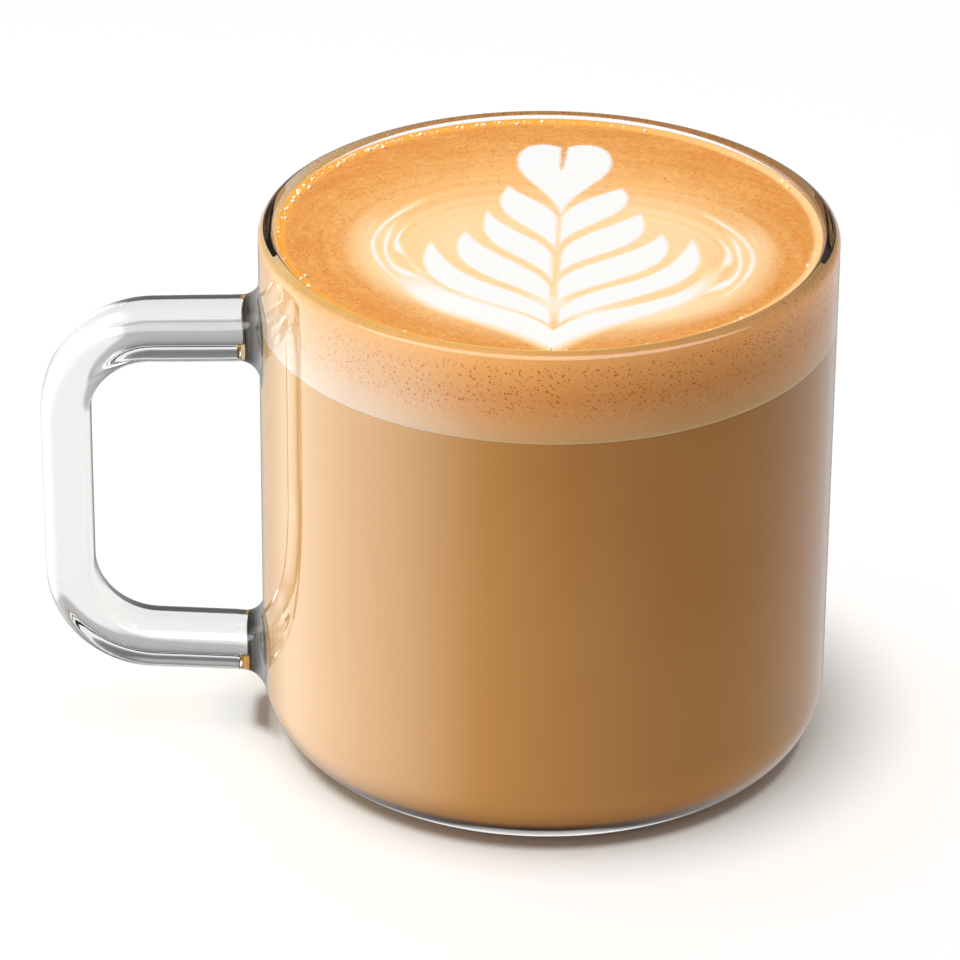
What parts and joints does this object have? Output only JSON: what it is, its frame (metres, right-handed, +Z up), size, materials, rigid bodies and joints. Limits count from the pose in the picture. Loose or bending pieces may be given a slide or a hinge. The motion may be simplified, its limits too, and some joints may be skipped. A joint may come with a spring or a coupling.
{
  "type": "latte in a glass cup",
  "caption": "Milky coffee with a layer of patterned milk foam in a clear straight-sided glass cup with a handle.",
  "frame": {"origin": "centre of the cup's flat foot, on the surface it stands on", "axes": "+Z up along the cup's axis; the handle points along -X and lies in the XZ plane, so X is the longest extent"},
  "size_m": [0.1244, 0.09, 0.087],
  "materials": {
    "clear_glass": "clear pressed soda-lime glass, fire polished",
    "milky_coffee": "opaque milky coffee seen through glass",
    "milk_foam": "fine milk foam with a brown crema and a white poured leaf"
  },
  "bodies": {
    "root": {"mug": "clear_glass", "coffee": "milky_coffee", "foam": "milk_foam"}
  },
  "joints": []
}
